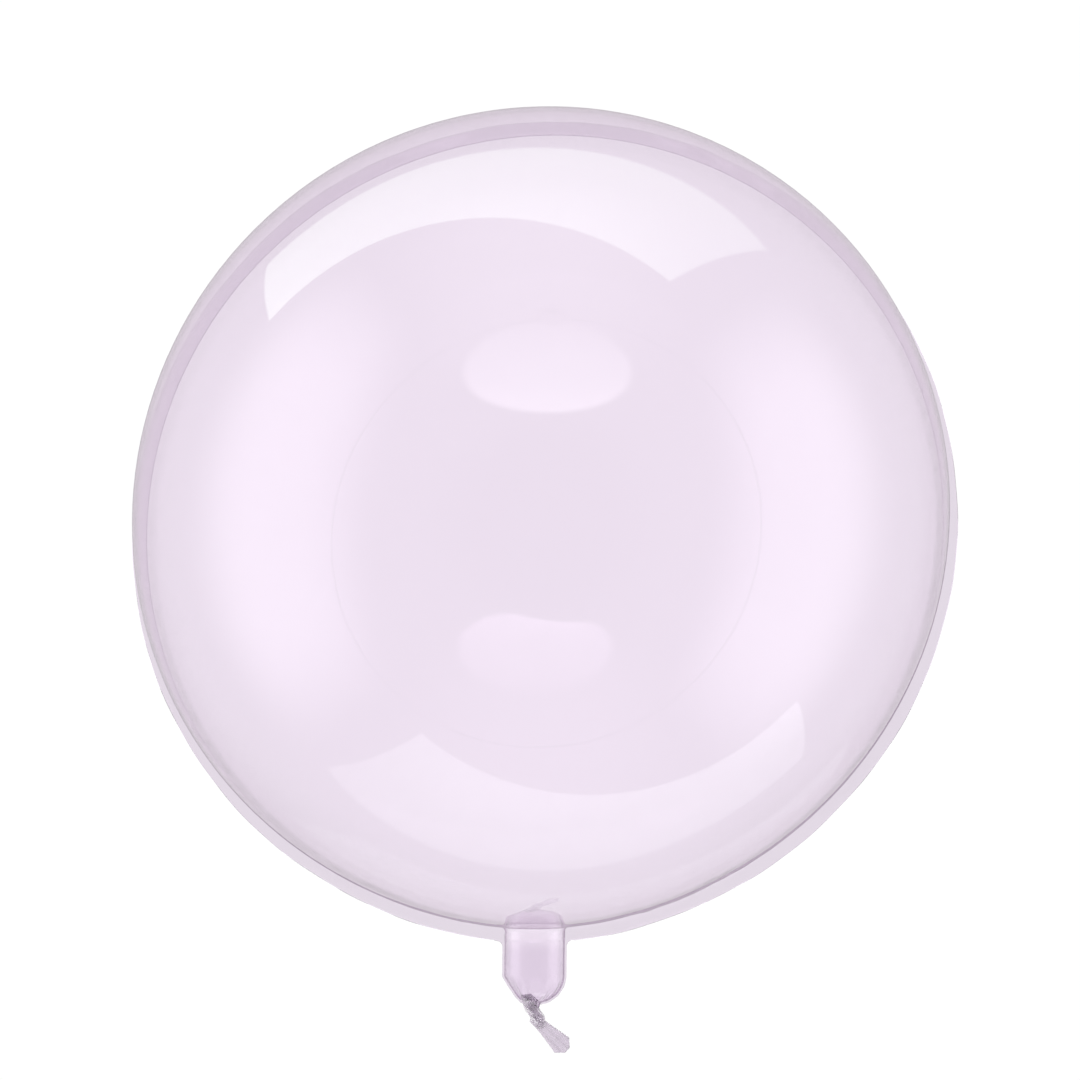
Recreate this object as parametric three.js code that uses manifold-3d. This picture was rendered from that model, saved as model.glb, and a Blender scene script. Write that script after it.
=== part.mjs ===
// Clear bubble balloon: two sheets of clear film welded round a bubble, with a short filling neck that is
// gathered, tied in a knot and cut off to a small flared tail.
// It lies on the back of its bubble, on a small flat spot, with the weld level and the neck towards -Y. The
// front sheet has stretched further than the back one, so the weld lies behind the bubble's widest place.
// Millimetres, +Z up, origin at the centre of the flat spot. Lengths along the neck run from the middle of
// the weld's circle.

import * as THREE from 'three';
import { mergeVertices } from 'three/addons/utils/BufferGeometryUtils.js';
import Module from 'manifold-3d';

const { clamp, lerp } = THREE.MathUtils;
const wasm = await Module();
wasm.setup();

// Bubble
const BUBBLE_RADIUS = 230;
const FLAT_SPOT_RADIUS = 25;
const DIAGONAL_BULGE = 0.01; // share of the radius added from front left to back right, taken off across it
const NECK_PULL = 2.6; // how far the neck draws the film out at its root
const NECK_PULL_SPREAD = 0.4; // radians from the neck over which that dies away

// Weld flange round the seam
const SEAM_SETBACK = 30; // from the bubble's centre back to the weld's plane
const FLANGE_WIDTH = 8;
const FLANGE_THICKNESS = 1.6;
const WELD_FILLET = 3;

// Filling neck: a short tube with welded sides, and the gathered bag end below it
const NECK_RADIUS = 16.6;
const NECK_OFFSET = -2.6; // sideways, before the bulge moves it
const NECK_STRAIGHT_END = 254.8;
const BAG_DEPTH = 15.2;
const FIN_WIDTH = 1.5;
const FIN_FILLET = 3.5;
const BAG_PLEATS = 11;
const BAG_PLEAT_DEPTH = 0.17; // share of the local radius, at the throat
const BAG_PLEAT_GROWTH = 1.5; // power by which the pleats deepen towards the throat
const BAG_PLEAT_DRIFT = 0.6; // radians by which they crowd to the sides
const THROAT_RADIUS = 3.6;

// Knot
const KNOT_CENTRE = 274.8;
const KNOT_RADIUS = 3.9;
const KNOT_STRETCH = 1.6; // length over width
const WRAP_RADIUS = 3.1;
const WRAP_THICKNESS = 1.6;
const WRAP_TURNS = [
  { lean: 0.62, place: 273.6 },
  { lean: -0.35, place: 275.5 },
];

// Tail
const TAIL_START = 278.3;
const TAIL_HEADING = 0.8; // radians from straight along -Y, towards +X
const TAIL_REACH = 26.5;
const TAIL_CORNER_REACH = 22.2;
const TAIL_START_RADIUS = 2.2;
const TAIL_END_HALF_WIDTH = 5.9;
const TAIL_TIP_HALF_WIDTH = 1.8;
const TAIL_END_THICKNESS = 1.5;
const TAIL_FLARE = 0.8; // power by which it widens along its length
const TAIL_FLATTENING = 0.5; // power by which it thins
const TAIL_START_ROUNDING = 0.92; // 1 would bring the bundle's sides to an edge
const TAIL_PLEATS = 2.5;
const TAIL_PLEAT_DEPTH = 1.1;

// Facets
const SIDES_ROUND_BUBBLE = 64;
const STEPS_UP_SHEET = 17;
const STEPS_ROUND_FILLET = 3;
const NECK_SIDES = 44;
const NECK_STEPS = 18;
const NECK_BAG_STEPS = 11 / NECK_STEPS; // share of the neck's steps on the gathered end
const FIN_CURVE_STEPS = 8;
const KNOT_SIDES = 16;
const KNOT_STEPS = 10;
const WRAP_SIDES = 10;
const WRAP_STEPS = 22;
const TAIL_STEPS_ACROSS = 20;
const TAIL_STEPS_ALONG = 6;
const TAIL_STEPS_THROUGH = 2;

const SEAM_HEIGHT = Math.sqrt(BUBBLE_RADIUS ** 2 - FLAT_SPOT_RADIUS ** 2) - SEAM_SETBACK;
const SEAM_RADIUS = Math.sqrt(BUBBLE_RADIUS ** 2 - SEAM_SETBACK ** 2);
const FLANGE_RADIUS = SEAM_RADIUS + FLANGE_WIDTH;
const QUARTER_TURN = Math.PI / 2;
const MERGE_DISTANCE = 1e-4;

// Boolean helpers

function toSolid(geometry) {
  const bare = geometry.clone();
  bare.deleteAttribute('normal');
  bare.deleteAttribute('uv');
  const merged = mergeVertices(bare, MERGE_DISTANCE);
  const mesh = new wasm.Mesh({
    numProp: 3,
    vertProperties: new Float32Array(merged.attributes.position.array),
    triVerts: new Uint32Array(merged.index.array),
  });
  return new wasm.Manifold(mesh);
}

function toGeometry(solid) {
  const mesh = solid.getMesh();
  const geometry = new THREE.BufferGeometry();
  geometry.setAttribute('position', new THREE.BufferAttribute(mesh.vertProperties, mesh.numProp));
  geometry.setIndex(new THREE.BufferAttribute(mesh.triVerts, 1));
  return geometry;
}

// Moves every vertex by a function of its place.
function reshape(geometry, move) {
  const position = geometry.attributes.position;
  const point = new THREE.Vector3();
  for (let i = 0; i < position.count; i += 1) {
    point.fromBufferAttribute(position, i);
    move(point);
    position.setXYZ(i, point.x, point.y, point.z);
  }
  return geometry;
}

// A closed tube along -Y, worked out from a cylinder's grid: place(along, angle, out, point) is given the
// share of the length from 0 to 1, the angle round the tube, and 1 on its skin or 0 at a cap's centre.
function tube(sides, steps, place) {
  const grid = new THREE.CylinderGeometry(1, 1, 1, sides, steps);
  return reshape(grid, (point) => {
    const along = 0.5 - point.y;
    const angle = Math.atan2(point.z, point.x);
    const out = Math.hypot(point.x, point.z);
    place(along, angle, out, point);
  });
}

// The whole film follows the bubble's slight bulge along one diagonal, and the neck's pull on its root.
function followBubble(point) {
  const fromNeck = Math.acos(clamp(-point.y / Math.max(point.length(), 1), -1, 1));
  const pull = NECK_PULL * Math.exp(-((fromNeck / NECK_PULL_SPREAD) ** 2));
  const { x, y } = point;
  point.x = x + DIAGONAL_BULGE * y;
  point.y = y + DIAGONAL_BULGE * x - pull;
}

// One sheet's profile, from its pole to the flange's edge, as radius and distance from the weld's plane: an
// arc about the bubble's centre from the angle where the pole ends, then a fillet into the flange.
function sheetProfile(centre, poleEnd) {
  const filletTop = WELD_FILLET + FLANGE_THICKNESS / 2;
  const arcEnd = Math.acos((filletTop - centre) / BUBBLE_RADIUS);
  const points = [];
  for (let i = 0; i <= STEPS_UP_SHEET; i += 1) {
    const fromPole = lerp(poleEnd, arcEnd, i / STEPS_UP_SHEET);
    points.push([BUBBLE_RADIUS * Math.sin(fromPole), centre + BUBBLE_RADIUS * Math.cos(fromPole)]);
  }
  for (let i = 1; i <= STEPS_ROUND_FILLET; i += 1) {
    const turn = QUARTER_TURN * (i / STEPS_ROUND_FILLET);
    const radius = lerp(BUBBLE_RADIUS * Math.sin(arcEnd), SEAM_RADIUS + WELD_FILLET, 1 - Math.cos(turn));
    points.push([radius, filletTop - WELD_FILLET * Math.sin(turn)]);
  }
  points.push([FLANGE_RADIUS, FLANGE_THICKNESS / 2]);
  return points;
}

// Bubble with its weld flange: one profile turned round the upright axis
function bubble() {
  const below = sheetProfile(-SEAM_SETBACK, Math.asin(FLAT_SPOT_RADIUS / BUBBLE_RADIUS));
  const above = sheetProfile(SEAM_SETBACK, 0).reverse();
  const profile = [
    new THREE.Vector2(0, -SEAM_HEIGHT),
    ...below.map(([radius, drop]) => new THREE.Vector2(radius, -drop)),
    ...above.map(([radius, rise]) => new THREE.Vector2(radius, rise)),
  ];
  const turned = new THREE.LatheGeometry(profile, SIDES_ROUND_BUBBLE);
  turned.rotateX(QUARTER_TURN);
  return toSolid(turned);
}

// Neck: a round tube from inside the bubble that closes in to the throat like the end of a bag, its skin
// drawn into pleats that deepen towards the throat
function neckTube() {
  const start = SEAM_RADIUS - 2 * NECK_RADIUS;
  const lastTurn = Math.acos(THROAT_RADIUS / NECK_RADIUS);
  const skin = tube(NECK_SIDES, NECK_STEPS, (along, angle, out, point) => {
    const straight = Math.min(1, along / (1 - NECK_BAG_STEPS));
    const bag = Math.max(0, 1 - (1 - along) / NECK_BAG_STEPS);
    const depth = BAG_PLEAT_DEPTH * bag ** BAG_PLEAT_GROWTH;
    const pleat = 1 + depth * Math.cos(BAG_PLEATS * angle + BAG_PLEAT_DRIFT * Math.sin(2 * angle));
    const radius = NECK_RADIUS * Math.cos(lastTurn * bag) * pleat * out;
    const reach = lerp(start, NECK_STRAIGHT_END, straight) + BAG_DEPTH * Math.sin(lastTurn * bag);
    point.set(NECK_OFFSET + radius * Math.cos(angle), -reach, radius * Math.sin(angle));
  });
  return toSolid(skin);
}

// Welded edges of the neck: one flat plate that fillets into the flange and runs round the bag end
function neckFins() {
  const half = NECK_RADIUS + FIN_WIDTH;
  const root = half + FIN_FILLET;
  const flangeEdge = Math.sqrt(FLANGE_RADIUS ** 2 - root ** 2);
  const outline = new THREE.Shape();
  outline.moveTo(-root, -SEAM_RADIUS);
  outline.absarc(-root, -flangeEdge - FIN_FILLET, FIN_FILLET, QUARTER_TURN, 0, true);
  outline.absellipse(0, -NECK_STRAIGHT_END, half, BAG_DEPTH, Math.PI, 2 * Math.PI, false);
  outline.absarc(root, -flangeEdge - FIN_FILLET, FIN_FILLET, Math.PI, QUARTER_TURN, true);
  outline.lineTo(root, -SEAM_RADIUS);
  outline.closePath();
  const plate = new THREE.ExtrudeGeometry(outline, {
    depth: FLANGE_THICKNESS,
    bevelEnabled: false,
    curveSegments: FIN_CURVE_STEPS,
  });
  plate.translate(NECK_OFFSET, 0, -FLANGE_THICKNESS / 2);
  return toSolid(plate);
}

// Knot: a lump of gathered film with turns of film lying round it
function knot() {
  const lump = new THREE.SphereGeometry(KNOT_RADIUS, KNOT_SIDES, KNOT_STEPS);
  lump.scale(1, KNOT_STRETCH, 1);
  lump.translate(NECK_OFFSET, -KNOT_CENTRE, 0);
  return WRAP_TURNS.reduce((solid, { lean, place }) => {
    const wrap = new THREE.TorusGeometry(WRAP_RADIUS, WRAP_THICKNESS, WRAP_SIDES, WRAP_STEPS);
    wrap.rotateX(QUARTER_TURN);
    wrap.rotateZ(lean);
    wrap.translate(NECK_OFFSET, -place, 0);
    return solid.add(toSolid(wrap));
  }, toSolid(lump));
}

// Tail: a bundle that opens out of the knot into a fan, its film lying in long pleats and its end cut to
// a blunt point. It is worked out from a box's grid, whose x runs across the fan and z through it.
function tail() {
  const grid = new THREE.BoxGeometry(2, 1, 2, TAIL_STEPS_ACROSS, TAIL_STEPS_ALONG, TAIL_STEPS_THROUGH);
  const fan = reshape(grid, (point) => {
    const along = 0.5 - point.y;
    const halfWidth = lerp(TAIL_START_RADIUS, TAIL_END_HALF_WIDTH, along ** TAIL_FLARE);
    const halfThick = lerp(TAIL_START_RADIUS, TAIL_END_THICKNESS / 2, along ** TAIL_FLATTENING);
    const across = halfWidth * point.x;
    const past = (Math.abs(across) - TAIL_TIP_HALF_WIDTH) / (TAIL_END_HALF_WIDTH - TAIL_TIP_HALF_WIDTH);
    const reach = lerp(TAIL_REACH, TAIL_CORNER_REACH, clamp(past, 0, 1));
    const rounding = Math.sqrt(1 - TAIL_START_ROUNDING * (1 - along) * point.x ** 2);
    const wave = TAIL_PLEAT_DEPTH * along * Math.cos(TAIL_PLEATS * Math.PI * point.x);
    point.set(across, -along * reach, halfThick * rounding * point.z + wave);
  });
  fan.rotateZ(TAIL_HEADING);
  fan.translate(NECK_OFFSET, -TAIL_START, 0);
  return toSolid(fan);
}

function balloon() {
  const solid = bubble().add(neckFins()).add(neckTube()).add(knot()).add(tail());
  const geometry = reshape(toGeometry(solid), followBubble);
  geometry.translate(0, 0, SEAM_HEIGHT);
  geometry.computeVertexNormals();
  return geometry;
}

const clearFilm = new THREE.MeshStandardMaterial({
  color: 0xeee3f2,
  roughness: 0.08,
  metalness: 0,
  transparent: true,
  opacity: 0.4,
});

const envelope = new THREE.Mesh(balloon(), clearFilm);
envelope.name = 'bubble_envelope';

const group = new THREE.Group();
group.add(envelope);

export default group;
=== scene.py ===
import math

import bpy
import numpy as np
from mathutils import Matrix, Vector


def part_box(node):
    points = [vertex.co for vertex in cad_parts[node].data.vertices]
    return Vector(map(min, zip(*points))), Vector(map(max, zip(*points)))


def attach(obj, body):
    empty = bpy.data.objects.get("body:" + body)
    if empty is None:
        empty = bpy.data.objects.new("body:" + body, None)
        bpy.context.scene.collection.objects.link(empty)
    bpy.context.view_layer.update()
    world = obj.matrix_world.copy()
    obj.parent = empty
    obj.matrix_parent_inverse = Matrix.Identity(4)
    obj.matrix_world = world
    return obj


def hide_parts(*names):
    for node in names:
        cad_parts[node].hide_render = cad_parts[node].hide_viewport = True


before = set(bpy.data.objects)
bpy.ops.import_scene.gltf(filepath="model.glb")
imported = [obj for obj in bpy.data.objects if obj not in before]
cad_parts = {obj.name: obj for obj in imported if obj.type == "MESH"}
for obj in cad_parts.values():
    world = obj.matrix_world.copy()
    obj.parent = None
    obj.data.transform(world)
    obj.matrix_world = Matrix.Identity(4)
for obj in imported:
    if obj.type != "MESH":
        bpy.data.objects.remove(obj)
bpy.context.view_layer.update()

bl_info = {
    "name": "Clear bubble balloon",
    "version": (1, 0, 0),
    "blender": (4, 5, 0),
    "location": "View3D > Sidebar > Balloon",
    "description": "Builds the film, weld flange, knot and tail of a clear bubble balloon",
    "category": "Object",
}

NODE = "bubble_envelope"
BODY = "root"
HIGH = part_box(NODE)[1]

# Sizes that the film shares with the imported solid, in metres and radians
FLANGE_WIDTH = 0.008
SEAM_SETBACK = 0.030  # from the bubble's centre back to the weld's plane
DIAGONAL_BULGE = 0.01
NECK_PULL = 0.0026
NECK_PULL_SPREAD = 0.4
NECK_RADIUS = 0.0166
NECK_OFFSET = -0.0026
NECK_STRAIGHT_END = 0.2548
BAG_DEPTH = 0.0152
FIN_WIDTH = 0.0015
FIN_FILLET = 0.0035
THROAT_RADIUS = 0.0036
KNOT_CENTRE = 0.2748
TAIL_START = 0.2783
TAIL_HEADING = 0.8
TAIL_REACH = 0.0265
TAIL_CORNER_REACH = 0.0222
TAIL_END_HALF_WIDTH = 0.0059
TAIL_TIP_HALF_WIDTH = 0.0018

SEAM_RADIUS = HIGH.x - FLANGE_WIDTH
BUBBLE_RADIUS = math.hypot(SEAM_RADIUS, SEAM_SETBACK)
BUBBLE_CENTRE = HIGH.z - BUBBLE_RADIUS
WELD_HEIGHT = BUBBLE_CENTRE - SEAM_SETBACK
FULL_TURN = 2 * math.pi

# Sizes of the film alone
FLAT_ROUNDING = 0.0008  # softens the edge of the spot that the bubble rests on
COLUMN_CROWDING = 0.35  # how strongly the film's columns crowd together at the weld
CREASE_PLACE = 0.2332  # ring pressed into the neck, just below the bubble
CREASE_WIDTH = 0.0011
CREASE_DEPTH = 0.035  # share of the neck's radius
BAG_STEPS = 40  # from the straight neck to the throat
NECK_TINT_FULL = -0.245  # the deeper tint of the neck fades out between these places along Y
NECK_TINT_NONE = -0.2335
STRAND_STATIONS = 190  # along the knot
STRAND_SIDES = 72

# Gathered film holds air between its layers, so it bends light less than solid plastic and looks milkier
GATHERED_IOR = 1.2
GATHERED_CLEAR = 0.62


# Shapes: every function works on whole arrays, in a frame whose origin is the middle of the weld's circle


def follow_bubble(points):
    """Bulge along one diagonal (x gains a share of y, y the same share of x), and the neck's pull on its
    root: y falls by the pull times exp(-(angle from the neck / spread) squared)."""
    x, y, z = points[..., 0], points[..., 1], points[..., 2]
    length = np.maximum(np.linalg.norm(points, axis=-1), 1e-3)
    from_neck = np.arccos(np.clip(-y / length, -1, 1))
    pull = NECK_PULL * np.exp(-((from_neck / NECK_PULL_SPREAD) ** 2))
    return np.stack([x + DIAGONAL_BULGE * y, y + DIAGONAL_BULGE * x - pull, z], axis=-1)


def sphere_reach(polar, azimuth):
    """Distance from the weld's middle to the bubble along the direction at a polar angle from +Y and an
    azimuth round Y: the root of |s d - c| = R, where c is the bubble's centre."""
    rise = np.sin(polar) * np.sin(azimuth) * SEAM_SETBACK
    return rise + np.sqrt(rise**2 - SEAM_SETBACK**2 + BUBBLE_RADIUS**2)


def smoothstep(x):
    """0 below 0, 1 above 1, and 3x^2 - 2x^3 between."""
    x = np.clip(x, 0, 1)
    return x * x * (3 - 2 * x)


def bag_radius(share, azimuth, pleat_depth):
    """Radius of the gathered end at a share of its depth: the neck's radius times the cosine of the turn,
    drawn into two sets of pleats that deepen towards the throat, and cut in along its left side."""
    last_turn = math.acos(THROAT_RADIUS / NECK_RADIUS)
    drift = azimuth + 0.05 * np.sin(2 * azimuth)
    pleats = 0.62 * np.cos(11 * drift + 0.4) + 0.38 * np.cos(19 * drift + 1.9 + 1.2 * share)
    depth = pleat_depth * share**1.5
    left = 0.5 - 0.5 * np.cos(azimuth)
    cut = 0.20 * np.sin(math.pi * share) * left**2
    return NECK_RADIUS * np.cos(last_turn * share) * (1 + depth * pleats) * (1 - cut)


def bag_reach(share):
    """Distance along the neck at a share of the gathered end's depth: a quarter of an ellipse."""
    last_turn = math.acos(THROAT_RADIUS / NECK_RADIUS)
    return NECK_STRAIGHT_END + BAG_DEPTH * np.sin(last_turn * share)


def film_surface(columns, pleat_depth, pucker_depth):
    """The bubble's two sheets, the neck and its gathered end as one skin, closed at +Y and open in the
    knot. Columns run round the Y axis and crowd together at the weld: azimuth = t - k sin(2t). Where
    the bubble rests it is flat: height h above the ground becomes (h + (h^2 + e^2)^(1/2)) / 2."""
    turn = np.linspace(0, FULL_TURN, columns, endpoint=False)
    azimuth = turn - COLUMN_CROWDING * np.sin(2 * turn)
    azimuth = azimuth[None, :]
    cos_a, sin_a = np.cos(azimuth), np.sin(azimuth)

    # Bubble, from the pole at +Y to the ring where the neck's fillet starts
    ring = NECK_RADIUS + FIN_FILLET
    neck_angle = np.full_like(azimuth, ring / BUBBLE_RADIUS)
    for _ in range(4):
        neck_angle = np.arcsin(ring / sphere_reach(math.pi - neck_angle, azimuth))
    far = np.linspace(0, 0.66, 53)[1:]
    near = np.linspace(0.66, 1, 84)[1:]
    rows = np.concatenate([far, near])[:, None]
    polar = rows * (math.pi - neck_angle)
    reach = sphere_reach(polar, azimuth)
    shift = NECK_OFFSET * smoothstep((polar - 2.6) / 0.4)
    x = reach * np.sin(polar) * cos_a + shift
    z = reach * np.sin(polar) * sin_a
    y = reach * np.cos(polar)
    near_neck = polar > 2.6
    on_bubble = -np.sqrt(np.maximum(BUBBLE_RADIUS**2 - x**2 - (z - SEAM_SETBACK) ** 2, 0))
    y = np.where(near_neck, on_bubble, y)
    bubble = np.stack([x, y, z], axis=-1)
    bubble = pucker(bubble, pucker_depth)
    ring_y = bubble[-1, :, 1][None, :]

    # Fillet from the bubble into the neck: a quarter circle
    quarter = (np.linspace(0, 1, 9)[1:] * math.pi / 2)[:, None]
    radius = ring - FIN_FILLET * np.sin(quarter) + 0 * azimuth
    fillet = np.stack(
        [
            NECK_OFFSET + radius * cos_a,
            ring_y - FIN_FILLET * (1 - np.cos(quarter)),
            radius * sin_a,
        ],
        axis=-1,
    )

    # Straight neck, slightly slack between its two welds
    share = np.linspace(0, 1, 33)[1:][:, None]
    start_y = ring_y - FIN_FILLET
    slack = 1 + 0.006 * np.sin(3.1 * share) * np.cos(3 * azimuth + 2.2 * share)
    level = start_y + (-NECK_STRAIGHT_END - start_y) * share
    bead = np.exp(-(((level + CREASE_PLACE) / CREASE_WIDTH) ** 2))
    groove = np.exp(-(((level + CREASE_PLACE + 2 * CREASE_WIDTH) / CREASE_WIDTH) ** 2))
    slack = slack + CREASE_DEPTH * (bead - 1.3 * groove) * sin_a**2
    neck = np.stack(
        [
            NECK_OFFSET + NECK_RADIUS * slack * cos_a,
            level,
            NECK_RADIUS * slack * sin_a,
        ],
        axis=-1,
    )

    # Gathered end, and the throat that runs on into the knot
    share = np.linspace(0, 1, BAG_STEPS + 1)[1:][:, None]
    radius = bag_radius(share, azimuth, pleat_depth)
    bag = np.stack(
        [
            NECK_OFFSET + radius * cos_a,
            -bag_reach(share) + 0 * azimuth,
            radius * sin_a,
        ],
        axis=-1,
    )
    share = np.linspace(0, 1, 7)[1:][:, None]
    radius = bag_radius(np.ones_like(azimuth), azimuth, pleat_depth) * (1 - 0.35 * share)
    throat = np.stack(
        [
            NECK_OFFSET + radius * cos_a,
            bag[-1, :, 1][None, :] - 0.004 * share,
            radius * sin_a,
        ],
        axis=-1,
    )
    grid = np.concatenate([bubble, fillet, neck, bag, throat], axis=0)
    pole = np.array([0.0, math.sqrt(BUBBLE_RADIUS**2 - SEAM_SETBACK**2), 0.0])
    grid = follow_bubble(grid)
    height = grid[..., 2] + WELD_HEIGHT
    grid[..., 2] = (height + np.sqrt(height**2 + FLAT_ROUNDING**2)) / 2 - WELD_HEIGHT
    return grid, follow_bubble(pole)


def pucker(points, depth):
    """Small gathers where the two sheets were welded flat: along the weld the film dips by a sum of
    cosines of the angle round it, times exp(-(height off the weld / reach)), and by a few deeper dents."""
    x, y, z = points[..., 0], points[..., 1], points[..., 2]
    centre = np.array([0, 0, SEAM_SETBACK])
    outward = points - centre
    outward = outward / np.linalg.norm(outward, axis=-1, keepdims=True)
    around = np.arctan2(y, x)
    fade = np.exp(-np.abs(z) / 0.010)
    ripple = np.cos(61 * around + 2 * np.cos(7 * around)) + 0.6 * np.cos(97 * around + 1)
    low_side = smoothstep(0.2 - np.sin(around))
    dip = 0.30 * depth * ripple * fade * (0.35 + 0.65 * low_side)
    for place, width, strength, height in PUCKERS:
        away = np.angle(np.exp(1j * (around - math.radians(place))))
        dent = np.exp(-((away / math.radians(width)) ** 2))
        dip = dip - depth * strength * dent * np.exp(-((z / height) ** 2))
    return points + outward * dip[..., None]


# Deeper dents along the weld: place in degrees round it from +X, width in degrees, strength, height
PUCKERS = [
    (-64.6, 0.9, 1.5, 0.016),
    (-62.2, 0.7, 1.2, 0.012),
    (-66.4, 0.6, 0.9, 0.010),
    (-112.6, 0.9, 1.3, 0.014),
    (-115.4, 0.7, 0.9, 0.011),
    (-77.0, 1.1, 0.8, 0.014),
    (-103.0, 1.0, 0.7, 0.012),
    (-142.0, 0.9, 0.9, 0.010),
    (-38.0, 0.9, 0.8, 0.010),
]


def flange_surface(thickness, waviness):
    """Weld flange, and the welded edges of the neck and bag, as one thin strip. Its inner edge follows the
    seam's circle, the neck's sides and the bag's contour, its outer edge lies a width outside, and its
    section is a thin lens with a rounded edge: half thickness = t (1 - v^6)^(1/2) round the outer edge."""
    half = NECK_RADIUS + FIN_WIDTH
    root = half + FIN_FILLET
    outer_radius = SEAM_RADIUS + FLANGE_WIDTH
    outer_end = math.sqrt(outer_radius**2 - root**2)
    inner_end = math.sqrt(SEAM_RADIUS**2 - NECK_RADIUS**2)

    # Right side of the bag, from the throat up to the straight neck
    share = np.linspace(1, 0, BAG_STEPS)
    contour = bag_radius(share, np.zeros_like(share), 0)
    reach = -bag_reach(share)
    turn = math.acos(THROAT_RADIUS / NECK_RADIUS) * share
    width = FIN_WIDTH * (1 + 0.12 * np.cos(23 * share) * share)
    lean = np.stack([np.cos(turn), -np.sin(turn)], axis=-1)
    bag_inner = np.stack([contour, reach], axis=-1)
    bag_outer = bag_inner + width[:, None] * lean

    # Right side of the neck, then the fillet into the flange
    along = np.linspace(0, 1, 14)[1:-1]
    fillet_foot = -outer_end - FIN_FILLET
    side_y = -NECK_STRAIGHT_END + (fillet_foot + NECK_STRAIGHT_END) * along
    side_inner = np.stack([np.full_like(side_y, NECK_RADIUS), side_y], axis=-1)
    side_outer = np.stack([np.full_like(side_y, half), side_y], axis=-1)
    step = np.linspace(0, 1, 12)
    arc = step * math.pi / 2
    fillet_outer = np.stack(
        [root - FIN_FILLET * np.cos(arc), fillet_foot + FIN_FILLET * np.sin(arc)], axis=-1
    )
    fillet_inner = np.stack(
        [np.full_like(step, NECK_RADIUS), fillet_foot + (-inner_end - fillet_foot) * step], axis=-1
    )
    right_inner = np.concatenate([bag_inner, side_inner, fillet_inner])
    right_outer = np.concatenate([bag_outer, side_outer, fillet_outer])

    # The ring, from the neck's right side through +X, +Y and -X to its left side
    steps = np.linspace(0, 1, 900)[1:-1]

    def ring_turn(half_gap, radius):
        right = math.asin((half_gap + NECK_OFFSET) / radius)
        left = math.asin((half_gap - NECK_OFFSET) / radius)
        return -math.pi / 2 + right + (FULL_TURN - right - left) * steps

    inner_turn = ring_turn(NECK_RADIUS, SEAM_RADIUS)
    outer_turn = ring_turn(root, outer_radius)
    edge = outer_radius + waviness * (
        0.22 * np.cos(14 * outer_turn + 1.1) + 0.14 * np.cos(37 * outer_turn + 0.4)
    )
    ring_inner = SEAM_RADIUS * np.stack([np.cos(inner_turn), np.sin(inner_turn)], axis=-1)
    ring_outer = edge[:, None] * np.stack([np.cos(outer_turn), np.sin(outer_turn)], axis=-1)

    mirror = np.array([-1, 1])
    left_cut = bag_radius(share, np.full_like(share, math.pi), 0) / contour
    left_inner = right_inner * mirror
    left_outer = right_outer * mirror
    left_inner[:BAG_STEPS, 0] *= left_cut
    left_outer[:BAG_STEPS, 0] += contour - contour * left_cut
    inner = np.concatenate([right_inner, ring_inner, left_inner[::-1]])
    outer = np.concatenate([right_outer, ring_outer, left_outer[::-1]])
    offset = np.zeros(len(inner))
    offset[: len(right_inner)] = NECK_OFFSET
    offset[-len(right_inner):] = NECK_OFFSET
    inner[:, 0] += offset
    outer[:, 0] += offset

    # Section: across from the weld to the edge on top, round the edge, and back underneath
    across = np.array([-0.06, 0.0, 0.08, 0.2, 0.36, 0.54, 0.72, 0.88, 0.97, 1.0])
    top = np.sqrt(np.clip(1 - across**6, 0, 1))
    bead = 1 + 1.6 * np.exp(-((across / 0.1) ** 2))
    level = np.concatenate([top * bead, -(top * bead)[-2::-1]]) * thickness / 2
    span = np.concatenate([across, across[-2::-1]])
    place = inner[:, None, :] + (outer - inner)[:, None, :] * span[None, :, None]
    around = np.arctan2(place[..., 1], place[..., 0])
    wave = 0.55 * np.sin(9 * around + 0.7) + 0.3 * np.sin(23 * around) + 0.25 * np.sin(47 * around + 2)
    is_ring = np.zeros(len(inner))
    is_ring[len(right_inner): -len(right_inner)] = 1
    is_ring = np.convolve(is_ring, np.ones(9) / 9, mode="same")
    lift = waviness * wave * np.clip(span, 0, 1)[None, :] ** 1.6 * is_ring[:, None]
    points = np.concatenate([place, (level[None, :] + lift)[..., None]], axis=-1)
    return follow_bubble(points)


def knot_path(count):
    """Path of the gathered film from the throat through an overhand knot to the tail: the knot is the
    curve x = t^3 - 3t, y = t^5 - 10t, z = t^4 - 4t^2, squeezed to its real size, with straight ends."""
    t = np.linspace(-2.08, 2.08, count)
    x = 0.00155 * (t**3 - 3 * t)
    y = -0.00044 * (t**5 - 10 * t)
    z = 0.00125 * (t**4 - 4 * t**2 + 2)
    return np.stack([x, y, z], axis=-1)


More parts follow.
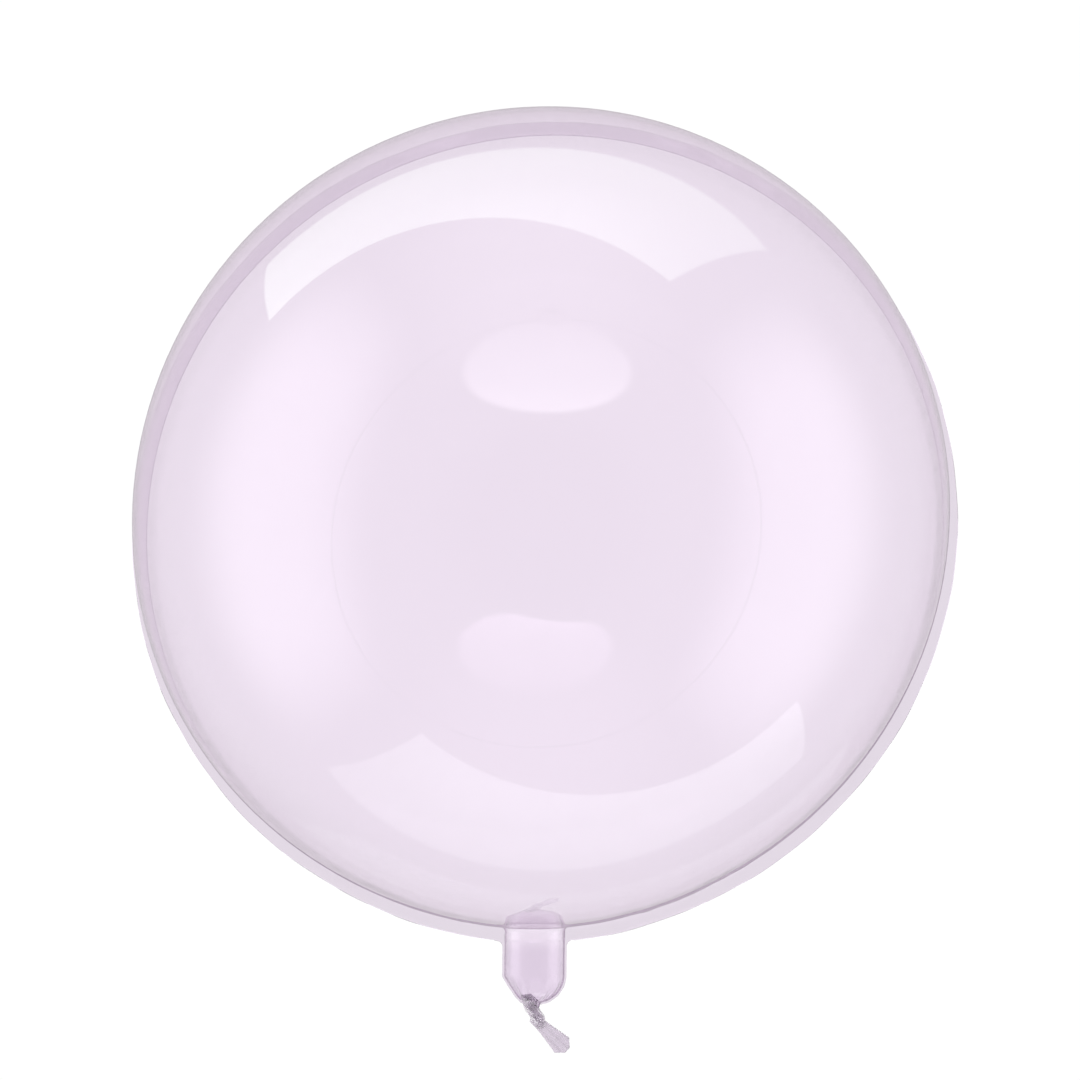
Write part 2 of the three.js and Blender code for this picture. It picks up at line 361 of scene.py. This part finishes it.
def strand_surface(stations, sides):
    """Knotted and cut end: a ridged bundle carried along the knot's path, which then leans over, widens
    and flattens into a fan of long pleats. Round the bundle the radius is r (1 + ridges of the angle);
    across the fan the point is (w cos a, h sin a + pleats of w cos a)."""
    knot = knot_path(stations)
    entry = np.linspace(0, 1, 10)[:-1, None]
    lead = np.array([0.0, 0.0040, 0.0]) * (1 - entry) + knot[0] * entry
    heading = np.array([math.sin(TAIL_HEADING), -math.cos(TAIL_HEADING), 0.0])
    start = np.array([0.0, -(TAIL_START - KNOT_CENTRE), 0.0])
    along = np.linspace(0, 1, 36)[:, None]
    fan = start + heading * TAIL_REACH * along
    bridge_share = np.linspace(0, 1, 10)[1:-1, None]
    ease = smoothstep(bridge_share)
    bridge = knot[-1] * (1 - ease) + start * ease
    path = np.concatenate([lead, knot, bridge, fan])
    open_share = np.concatenate([np.zeros(len(path) - len(fan)), along[:, 0]])

    tangent = np.gradient(path, axis=0)
    tangent /= np.linalg.norm(tangent, axis=1, keepdims=True)
    up = np.array([0.0, 0.0, 1.0])
    side = np.cross(tangent, up)
    side /= np.linalg.norm(side, axis=1, keepdims=True)
    rise = np.cross(side, tangent)

    angle = np.linspace(0, FULL_TURN, sides, endpoint=False)[None, :]
    opening = open_share[:, None]
    twist = np.linspace(0, 5.5, len(path))[:, None]
    ridges = 0.13 * np.cos(5 * angle + twist) + 0.08 * np.cos(9 * angle - 1.7 * twist)
    ridges = ridges * (1 - smoothstep(opening * 2.5))
    bundle = 0.0027 - 0.0006 * smoothstep(opening * 6)
    half_width = bundle + (TAIL_END_HALF_WIDTH - bundle) * opening**0.8
    half_thick = bundle + (0.00055 - bundle) * opening**0.5
    across = half_width * np.cos(angle) * (1 + ridges)
    pleats = 0.0008 * opening * (
        np.cos(2.5 * math.pi * np.cos(angle)) + 0.3 * np.cos(5.3 * math.pi * np.cos(angle) + 0.8)
    )
    through = half_thick * np.sin(angle) * (1 + ridges) + pleats

    past = (np.abs(across) - TAIL_TIP_HALF_WIDTH) / (TAIL_END_HALF_WIDTH - TAIL_TIP_HALF_WIDTH)
    drop = (TAIL_REACH - TAIL_CORNER_REACH) * np.clip(past, 0, 1) * opening**2
    points = (
        path[:, None, :]
        + across[..., None] * side[:, None, :]
        + through[..., None] * rise[:, None, :]
        - drop[..., None] * heading
    )
    points = points + np.array([NECK_OFFSET, -KNOT_CENTRE, 0.0])
    return follow_bubble(points)


# Mesh helpers


def grid_faces(rows, columns, closed_columns):
    """Quads between neighbouring rows and columns, numbered row by row."""
    column_count = columns if closed_columns else columns - 1
    r, c = np.meshgrid(np.arange(rows - 1), np.arange(column_count), indexing="ij")
    next_r = r + 1
    next_c = (c + 1) % columns
    quads = np.stack(
        [r * columns + c, r * columns + next_c, next_r * columns + next_c, next_r * columns + c], axis=-1
    )
    return quads.reshape(-1, 4)


def make_piece(name, points, faces, material):
    """A smooth mesh object at the origin from points above the weld's middle and lists of faces."""
    points = points.reshape(-1, 3) + np.array([0, 0, WELD_HEIGHT])
    mesh = bpy.data.meshes.new(name)
    mesh.from_pydata(points, [], faces)
    mesh.update()
    mesh.polygons.foreach_set("use_smooth", np.ones(len(mesh.polygons), bool))
    mesh.materials.append(material)
    piece = bpy.data.objects.new(name, mesh)
    bpy.context.scene.collection.objects.link(piece)
    return piece


def add_wall(piece, thickness):
    """Gives the skin its thickness, inwards."""
    wall = piece.modifiers.new("film_thickness", "SOLIDIFY")
    wall.thickness = thickness
    wall.offset = -1
    wall.use_even_offset = True


def settle(piece):
    """Hands the finished piece to the frame."""
    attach(piece, BODY)
    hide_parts(NODE)


# Materials


class Nodes:
    """Short calls for building a node tree."""

    def __init__(self, tree):
        self.tree = tree
        tree.nodes.clear()

    def add(self, kind, inputs=None, **settings):
        node = self.tree.nodes.new(kind)
        for key, value in settings.items():
            setattr(node, key, value)
        for key, value in (inputs or {}).items():
            self.set(node.inputs[key], value)
        return node

    def set(self, socket, value):
        if isinstance(value, bpy.types.NodeSocket):
            self.tree.links.new(value, socket)
        elif isinstance(value, bpy.types.Node):
            self.tree.links.new(value.outputs[0], socket)
        else:
            socket.default_value = value

    def math(self, operation, a, b=0.0, c=0.0):
        return self.add("ShaderNodeMath", {0: a, 1: b, 2: c}, operation=operation)

    def dot(self, a, b):
        node = self.add("ShaderNodeVectorMath", {0: a, 1: b}, operation="DOT_PRODUCT")
        return node.outputs["Value"]

    def ramp(self, value, low, high, out_low=0.0, out_high=1.0, smooth=True):
        return self.add(
            "ShaderNodeMapRange",
            {"Value": value, "From Min": low, "From Max": high, "To Min": out_low, "To Max": out_high},
            interpolation_type="SMOOTHSTEP" if smooth else "LINEAR",
        ).outputs["Result"]


def film_material(name, tint, haze, gathers, grain, neck_tint=None, ior=1.45, clear=1.0):
    """Clear stretched film: see-through by plain values on the shader, with faint smears in its gloss, a
    very fine unevenness, gathers along the weld, and a deeper tint in the neck, which isn't stretched.
    Haze is the roughest that the smears get; gathers and grain are heights in metres."""
    material = bpy.data.materials.new(name)
    material.use_nodes = True
    n = Nodes(material.node_tree)
    place = n.add("ShaderNodeTexCoord").outputs["Object"]
    smears = n.add(
        "ShaderNodeTexNoise", {"Vector": place, "Scale": 7.0, "Detail": 3.0, "Roughness": 0.55}
    ).outputs["Fac"]
    roughness = n.ramp(smears, 0.45, 0.75, haze * 0.3, haze)
    fine_noise = n.add(
        "ShaderNodeTexNoise", {"Vector": place, "Scale": 38.0, "Detail": 2.0, "Roughness": 0.5}
    ).outputs["Fac"]

    split = n.add("ShaderNodeSeparateXYZ", {0: place})
    around = n.math("ARCTAN2", split.outputs["Y"], split.outputs["X"])
    off_weld = n.math("ABSOLUTE", n.math("SUBTRACT", split.outputs["Z"], WELD_HEIGHT))
    spokes = n.add("ShaderNodeCombineXYZ", {"X": n.math("MULTIPLY", around, 26.0), "Y": off_weld})
    spoke_noise = n.add(
        "ShaderNodeTexNoise", {"Vector": spokes, "Scale": 1.6, "Detail": 3.0, "Roughness": 0.6}
    ).outputs["Fac"]
    near_weld = n.ramp(off_weld, 0.0, 0.022, 1.0, 0.0)
    gather_height = n.math("MULTIPLY", n.math("MULTIPLY", spoke_noise, near_weld), gathers)
    height = n.math("MULTIPLY_ADD", fine_noise, grain, gather_height)
    bump = n.add("ShaderNodeBump", {"Strength": 1.0, "Distance": 1.0, "Height": height})

    colour = (*tint, 1.0)
    if neck_tint:
        in_neck = n.ramp(split.outputs["Y"], NECK_TINT_FULL, NECK_TINT_NONE, 1.0, 0.0)
        colour = n.add("ShaderNodeMix", data_type="RGBA")
        n.set(colour.inputs[0], in_neck)
        n.set(colour.inputs[6], (*tint, 1.0))
        n.set(colour.inputs[7], (*neck_tint, 1.0))
        colour = colour.outputs[2]
    shader = n.add(
        "ShaderNodeBsdfPrincipled",
        {
            "Base Color": colour,
            "Metallic": 0.0,
            "IOR": ior,
            "Transmission Weight": clear,
            "Roughness": roughness,
            "Normal": bump.outputs["Normal"],
        },
    )
    output = n.add("ShaderNodeOutputMaterial")
    n.set(output.inputs["Surface"], shader)
    return material


# Studio

FLOOR_HALF_SIDE = 14.0
FLOOR_SPOTS = 9
FLOOR_DROP = 0.0004  # below the balloon, so that the two never touch
AIM_LEFT = 0.0006  # how far left of and below the bubble's centre the camera aims
AIM_DOWN = 0.0138


def view_axes(elevation, sideways):
    """Right, up and back axes of a view that looks down at an elevation and leans a little sideways."""
    back = Vector((math.sin(sideways), -math.cos(elevation), 0))
    back.z = math.sqrt(1 - back.length_squared)
    right = Vector((0, 1, 0)).cross(back).normalized()
    return right, back.cross(right), back


def panel_plane(n, direction, axes, turn, azimuth):
    """Where a direction meets the plane square to the panel's own direction: its part along growing
    azimuth and its part outwards, each over its part along the panel's direction, and that last part."""
    right, up, back = axes
    turn, azimuth = math.radians(turn), math.radians(azimuth)
    round_axis = right * math.cos(azimuth) + up * math.sin(azimuth)
    facing = back * math.cos(turn) + round_axis * math.sin(turn)
    outward = round_axis * math.cos(turn) - back * math.sin(turn)
    across = up * math.cos(azimuth) - right * math.sin(azimuth)
    depth = n.dot(direction, facing)
    safe = n.math("MAXIMUM", depth, 0.05)
    x = n.math("DIVIDE", n.dot(direction, across), safe)
    y = n.math("DIVIDE", n.dot(direction, outward), safe)
    return x, y, n.ramp(depth, 0.05, 0.15)


def softbox(n, direction, axes, spec):
    """Brightness that one softbox adds in a direction: its strength inside an oval or a rectangle on the
    panel's plane, times 1 + slope v, where v runs from -1 at the inner edge to 1 at the outer one."""
    x, y, facing_it = panel_plane(n, direction, axes, spec["turn"], spec["azimuth"])
    u = n.math("DIVIDE", x, spec["half_width"])
    v = n.math("DIVIDE", y, spec["half_height"])
    low, high = spec["soft"][1:]
    if spec.get("round", False):
        square = n.math("ADD", n.math("MULTIPLY", u, u), n.math("MULTIPLY", v, v))
        inside = n.ramp(n.math("SQRT", square), 1.0 - spec["soft"][0], 1.0, 1.0, 0.0)
    else:
        inside_u = n.ramp(n.math("ABSOLUTE", u), 1.0 - spec["soft"][0], 1.0, 1.0, 0.0)
        inside_low = n.ramp(v, -1.0, -1.0 + low, 0.0, 1.0)
        inside_high = n.ramp(v, 1.0 - high, 1.0, 1.0, 0.0)
        inside = n.math("MULTIPLY", inside_u, n.math("MULTIPLY", inside_low, inside_high))
    slope = n.math("MULTIPLY_ADD", v, spec.get("slope", 0.0), spec["strength"])
    return n.math("MULTIPLY", n.math("MULTIPLY", inside, facing_it), slope)


# Long bent panel: where it stands, in degrees, and its edges as terms of growing power
PANEL_TURN = 108
PANEL_AZIMUTH = 94
PANEL_INNER = (-0.348, 0.437)
PANEL_OUTER = (0.305, 0.14, 0.188, 0.198)
PANEL_LEFT = (1.209, -0.812)
PANEL_RIGHT = (-0.865, -0.181)
PANEL_STRENGTH = 1.25
PANEL_OUTER_SHARE = 0.42  # brightness at its outer edge over that at its inner edge
PANEL_GREEN = 1.28  # the panel is a little green, which the lilac film turns white


def long_panel(n, direction, axes):
    """Brightness of the long bent panel beyond the balloon's far side. On its plane each edge is a
    polynomial of the other coordinate, and the brightness falls from the inner edge to the outer one."""
    x, y, facing_it = panel_plane(n, direction, axes, PANEL_TURN, PANEL_AZIMUTH)

    def polynomial(t, *terms):
        total = terms[-1]
        for term in terms[-2::-1]:
            total = n.math("MULTIPLY_ADD", total, t, term)
        return total

    inner = polynomial(x, *PANEL_INNER)
    outer = polynomial(x, *PANEL_OUTER)
    left = polynomial(y, *PANEL_LEFT)
    right = polynomial(y, *PANEL_RIGHT)
    height = n.math("SUBTRACT", outer, inner)
    v = n.math("DIVIDE", n.math("SUBTRACT", y, inner), n.math("MAXIMUM", height, 0.05))
    inside = n.math("MULTIPLY", n.ramp(v, 0.0, 0.035), n.ramp(v, 0.94, 1.0, 1.0, 0.0))
    inside = n.math("MULTIPLY", inside, n.ramp(n.math("SUBTRACT", left, x), 0.0, 0.03))
    inside = n.math("MULTIPLY", inside, n.ramp(n.math("SUBTRACT", x, right), 0.0, 0.03))
    fall = n.ramp(v, 0.0, 1.0, PANEL_STRENGTH, PANEL_OUTER_SHARE * PANEL_STRENGTH, smooth=False)
    return n.math("MULTIPLY", n.math("MULTIPLY", inside, facing_it), fall)


# Room brightness by turn from the view's axis, as a share of half a turn
ROOM = [
    (0.0, 0.64), (0.11, 0.63), (0.18, 0.71), (0.28, 0.74), (0.66, 0.75), (0.78, 0.75), (0.86, 0.80),
    (0.91, 0.80), (0.96, 0.60), (1.0, 0.35),
]

# Turn and azimuth are in degrees. Soft: widths of the soft edge at the sides, the inner edge and the outer
# edge, as shares of the half size
SOFTBOXES = [
    # Round panel over the far side, bright towards the balloon
    dict(turn=41, azimuth=88, half_width=0.42, half_height=0.25, soft=(0.14, 0, 0), strength=1.05,
         slope=-0.95, round=True),
    # Haze between the round panel and the long one
    dict(turn=72, azimuth=91, half_width=0.75, half_height=0.75, soft=(0.9, 0.5, 0.7), strength=0.42),
    # Tall side panels
    dict(turn=83, azimuth=176, half_width=1.33, half_height=0.73, soft=(0.7, 0.75, 0.9), strength=0.85),
    dict(turn=83, azimuth=-4, half_width=1.33, half_height=0.73, soft=(0.7, 0.75, 0.9), strength=0.85),
]


def mirrored(n):
    """1 for light that the film mirrored on its way to the eye, 0 for the rest: some glossy bounces and
    no diffuse one."""
    path = n.add("ShaderNodeLightPath")
    glossy = n.math("GREATER_THAN", path.outputs["Glossy Depth"], 0.5)
    direct = n.math("LESS_THAN", path.outputs["Diffuse Depth"], 0.5)
    return n.math("MULTIPLY", glossy, direct)


def studio_world(pale, axes):
    """Plain pale surroundings, and a grey room with softboxes that shows only in the film's gloss."""
    world = bpy.data.worlds.new("studio")
    bpy.context.scene.world = world
    world.use_nodes = True
    n = Nodes(world.node_tree)
    direction = n.add("ShaderNodeTexCoord").outputs["Generated"]
    turned = n.math("ARCCOSINE", n.dot(direction, axes[2]))
    room = n.add("ShaderNodeValToRGB", {"Fac": n.math("DIVIDE", turned, math.pi)})
    ramp = room.color_ramp
    for place, level in ROOM[1:-1]:
        ramp.elements.new(place)
    for element, (place, level) in zip(ramp.elements, ROOM):
        element.position = place
        element.color = (level, level, level, 1)
    total = n.math("ADD", room.outputs["Color"], 0.0)  # its grey level as one number
    for spec in SOFTBOXES:
        total = n.math("ADD", total, softbox(n, direction, axes, spec))
    panel = long_panel(n, direction, axes)
    red = n.math("ADD", total, panel)
    far_side = n.ramp(turned, 2.2, 2.7, 1.0, 0.93)
    green = n.math("MULTIPLY_ADD", panel, PANEL_GREEN, n.math("MULTIPLY", total, far_side))
    room_colour = n.add("ShaderNodeCombineColor", {"Red": red, "Green": green, "Blue": red})
    plain = n.add("ShaderNodeCombineColor", {"Red": pale, "Green": pale, "Blue": pale})
    colour = n.add("ShaderNodeMix", data_type="RGBA")
    n.set(colour.inputs[0], mirrored(n))
    n.set(colour.inputs[6], plain)
    n.set(colour.inputs[7], room_colour)
    back = n.add("ShaderNodeBackground", {"Color": colour.outputs[2], "Strength": 1.0})
    output = n.add("ShaderNodeOutputWorld")
    n.set(output.inputs["Surface"], back)


def floor_material(tone):
    """Evenly lit pale floor, a light table with a trace of mottling, left out of what the film mirrors."""
    material = bpy.data.materials.new("pale_floor")
    material.use_nodes = True
    n = Nodes(material.node_tree)
    place = n.add("ShaderNodeTexCoord").outputs["Object"]
    mottle = n.add("ShaderNodeTexNoise", {"Vector": place, "Scale": 2.0, "Detail": 2.0}).outputs["Fac"]
    shade = n.ramp(mottle, 0.3, 0.7, tone - 0.004, tone)
    surface = n.add("ShaderNodeEmission", {"Strength": shade})
    clear = n.add("ShaderNodeBsdfTransparent")
    mix = n.add("ShaderNodeMixShader", {"Fac": mirrored(n), 1: surface, 2: clear})
    output = n.add("ShaderNodeOutputMaterial")
    n.set(output.inputs["Surface"], mix)
    return material


# Sizes and colours that a user would change


class BubbleSettings(bpy.types.PropertyGroup):
    wall: bpy.props.FloatProperty(
        name="Film thickness", description="Thickness of the stretched film",
        default=0.0002, unit="LENGTH",
    )
    tint: bpy.props.FloatVectorProperty(
        name="Film tint", description="Colour that light takes from one wall",
        default=(0.930, 0.874, 0.942), subtype="COLOR", size=3,
    )
    neck_tint: bpy.props.FloatVectorProperty(
        name="Neck tint", description="Colour that light takes from one wall of the unstretched neck",
        default=(0.858, 0.790, 0.876), subtype="COLOR", size=3,
    )
    pleat_depth: bpy.props.FloatProperty(
        name="Pleat depth", description="Depth of the bag's pleats as a share of its radius",
        default=0.15,
    )
    pucker_depth: bpy.props.FloatProperty(
        name="Pucker depth", description="Depth of the gathers along the weld",
        default=0.0007, unit="LENGTH",
    )
    columns: bpy.props.IntProperty(name="Columns", description="Faces round the film", default=220)


class FlangeSettings(bpy.types.PropertyGroup):
    thickness: bpy.props.FloatProperty(
        name="Flange thickness", description="Two films welded flat", default=0.0003, unit="LENGTH"
    )
    tint: bpy.props.FloatVectorProperty(
        name="Flange tint", description="Colour that light takes from the welded film",
        default=(0.77, 0.70, 0.785), subtype="COLOR", size=3,
    )
    waviness: bpy.props.FloatProperty(
        name="Waviness", description="How far the flange's edge wanders", default=0.0008, unit="LENGTH"
    )


class TailSettings(bpy.types.PropertyGroup):
    tint: bpy.props.FloatVectorProperty(
        name="Tail tint", description="Colour that light takes from the bundled film",
        default=(0.76, 0.69, 0.78), subtype="COLOR", size=3,
    )


class StageSettings(bpy.types.PropertyGroup):
    distance: bpy.props.FloatProperty(
        name="Camera distance", description="From the bubble's centre", default=2.5, unit="LENGTH"
    )
    elevation: bpy.props.FloatProperty(
        name="Elevation", description="How steeply the camera looks down",
        default=math.radians(81), subtype="ANGLE",
    )
    sideways: bpy.props.FloatProperty(
        name="Sideways lean", description="How far the camera stands to the right",
        default=math.radians(2.5), subtype="ANGLE",
    )
    lens: bpy.props.FloatProperty(
        name="Lens", description="Focal length", default=147.56, unit="CAMERA"
    )
    surroundings: bpy.props.FloatProperty(
        name="Surroundings", description="Brightness of the plain room", default=1.02
    )
    floor_tone: bpy.props.FloatProperty(
        name="Floor tone", description="How bright the floor is", default=1.02
    )


# Operators


class BALLOON_OT_film(bpy.types.Operator):
    """Builds the bubble's film with the filling neck and its gathered end"""

    bl_idname = "balloon.film"
    bl_label = "Bubble film"

    def execute(self, context):
        settings = context.scene.balloon_bubble
        grid, pole = film_surface(settings.columns, settings.pleat_depth, settings.pucker_depth)
        rows, columns = grid.shape[:2]
        points = np.concatenate([grid.reshape(-1, 3), pole[None, :]])
        quads = grid_faces(rows, columns, True)
        first = np.arange(columns)
        cap = np.stack([np.full(columns, rows * columns), (first + 1) % columns, first], axis=-1)
        material = film_material(
            "clear_film", settings.tint, haze=0.012, gathers=0.00035, grain=0.000004,
            neck_tint=settings.neck_tint,
        )
        piece = make_piece("bubble_film", points, quads.tolist() + cap.tolist(), material)
        add_wall(piece, settings.wall)
        settle(piece)
        return {"FINISHED"}


class BALLOON_OT_flange(bpy.types.Operator):
    """Builds the weld flange round the seam and the welded edges of the neck"""

    bl_idname = "balloon.flange"
    bl_label = "Weld flange"

    def execute(self, context):
        settings = context.scene.balloon_flange
        grid = flange_surface(settings.thickness, settings.waviness)
        rows, columns = grid.shape[:2]
        faces = grid_faces(rows, columns, False).tolist()
        ends = [list(range(columns))[::-1], list(range((rows - 1) * columns, rows * columns))]
        material = film_material(
            "welded_film", settings.tint, haze=0.05, gathers=0.00012, grain=0.00001
        )
        piece = make_piece("weld_flange", grid, faces + ends, material)
        settle(piece)
        return {"FINISHED"}


class BALLOON_OT_tail(bpy.types.Operator):
    """Builds the knot and the cut, flared tail"""

    bl_idname = "balloon.tail"
    bl_label = "Knot and tail"

    def execute(self, context):
        settings = context.scene.balloon_tail
        grid = strand_surface(STRAND_STATIONS, STRAND_SIDES)
        rows, columns = grid.shape[:2]
        faces = grid_faces(rows, columns, True).tolist()
        ends = [list(range(columns))[::-1], list(range((rows - 1) * columns, rows * columns))]
        material = film_material(
            "gathered_film", settings.tint, haze=0.25, gathers=0.0, grain=0.00001,
            ior=GATHERED_IOR, clear=GATHERED_CLEAR,
        )
        piece = make_piece("knotted_tail", grid, faces + ends, material)
        settle(piece)
        return {"FINISHED"}


class BALLOON_OT_stage(bpy.types.Operator):
    """Sets up the floor, the light and the camera"""

    bl_idname = "balloon.stage"
    bl_label = "Stage"

    def execute(self, context):
        settings = context.scene.balloon_stage
        scene = context.scene
        scene.view_settings.view_transform = "Standard"
        axes = view_axes(settings.elevation, settings.sideways)
        right, up, back = axes

        spots = np.linspace(-FLOOR_HALF_SIDE, FLOOR_HALF_SIDE, FLOOR_SPOTS)
        x, y = np.meshgrid(spots, spots, indexing="xy")
        points = np.stack([x, y, np.full_like(x, -FLOOR_DROP - WELD_HEIGHT)], axis=-1)
        floor = make_piece(
            "floor", points, grid_faces(FLOOR_SPOTS, FLOOR_SPOTS, False).tolist(),
            floor_material(settings.floor_tone),
        )

        studio_world(settings.surroundings, axes)

        centre = Vector((0, 0, BUBBLE_CENTRE))
        camera = bpy.data.objects.new("camera", bpy.data.cameras.new("camera"))
        camera.data.lens = settings.lens
        camera.data.sensor_width = 36
        camera.data.clip_end = 60
        aim = centre - right * AIM_LEFT - up * AIM_DOWN
        camera.location = centre + back * settings.distance
        view = (camera.location - aim).normalized()
        side_axis = up.cross(view).normalized()
        turned = Matrix((side_axis, view.cross(side_axis), view)).transposed()
        camera.rotation_euler = turned.to_euler()
        scene.collection.objects.link(camera)
        scene.camera = camera
        return {"FINISHED"}


class BALLOON_PT_panel(bpy.types.Panel):
    """Lists the balloon's parts and their sizes"""

    bl_label = "Bubble balloon"
    bl_idname = "BALLOON_PT_panel"
    bl_space_type = "VIEW_3D"
    bl_region_type = "UI"
    bl_category = "Balloon"

    def draw(self, context):
        for operator, settings in STEPS:
            box = self.layout.box()
            box.operator(operator)
            group = getattr(context.scene, settings)
            for name in type(group).__annotations__:
                box.prop(group, name)


STEPS = [
    ("balloon.film", "balloon_bubble"),
    ("balloon.flange", "balloon_flange"),
    ("balloon.tail", "balloon_tail"),
    ("balloon.stage", "balloon_stage"),
]
GROUPS = {
    "balloon_bubble": BubbleSettings,
    "balloon_flange": FlangeSettings,
    "balloon_tail": TailSettings,
    "balloon_stage": StageSettings,
}
CLASSES = [
    *GROUPS.values(),
    BALLOON_OT_film,
    BALLOON_OT_flange,
    BALLOON_OT_tail,
    BALLOON_OT_stage,
    BALLOON_PT_panel,
]


def register():
    for cls in CLASSES:
        bpy.utils.register_class(cls)
    for name, group in GROUPS.items():
        setattr(bpy.types.Scene, name, bpy.props.PointerProperty(type=group))


def unregister():
    for name in GROUPS:
        delattr(bpy.types.Scene, name)
    for cls in reversed(CLASSES):
        bpy.utils.unregister_class(cls)


def main():
    register()
    bpy.ops.balloon.film()
    bpy.ops.balloon.flange()
    bpy.ops.balloon.tail()
    bpy.ops.balloon.stage()


if __name__ == "__main__":
    main()
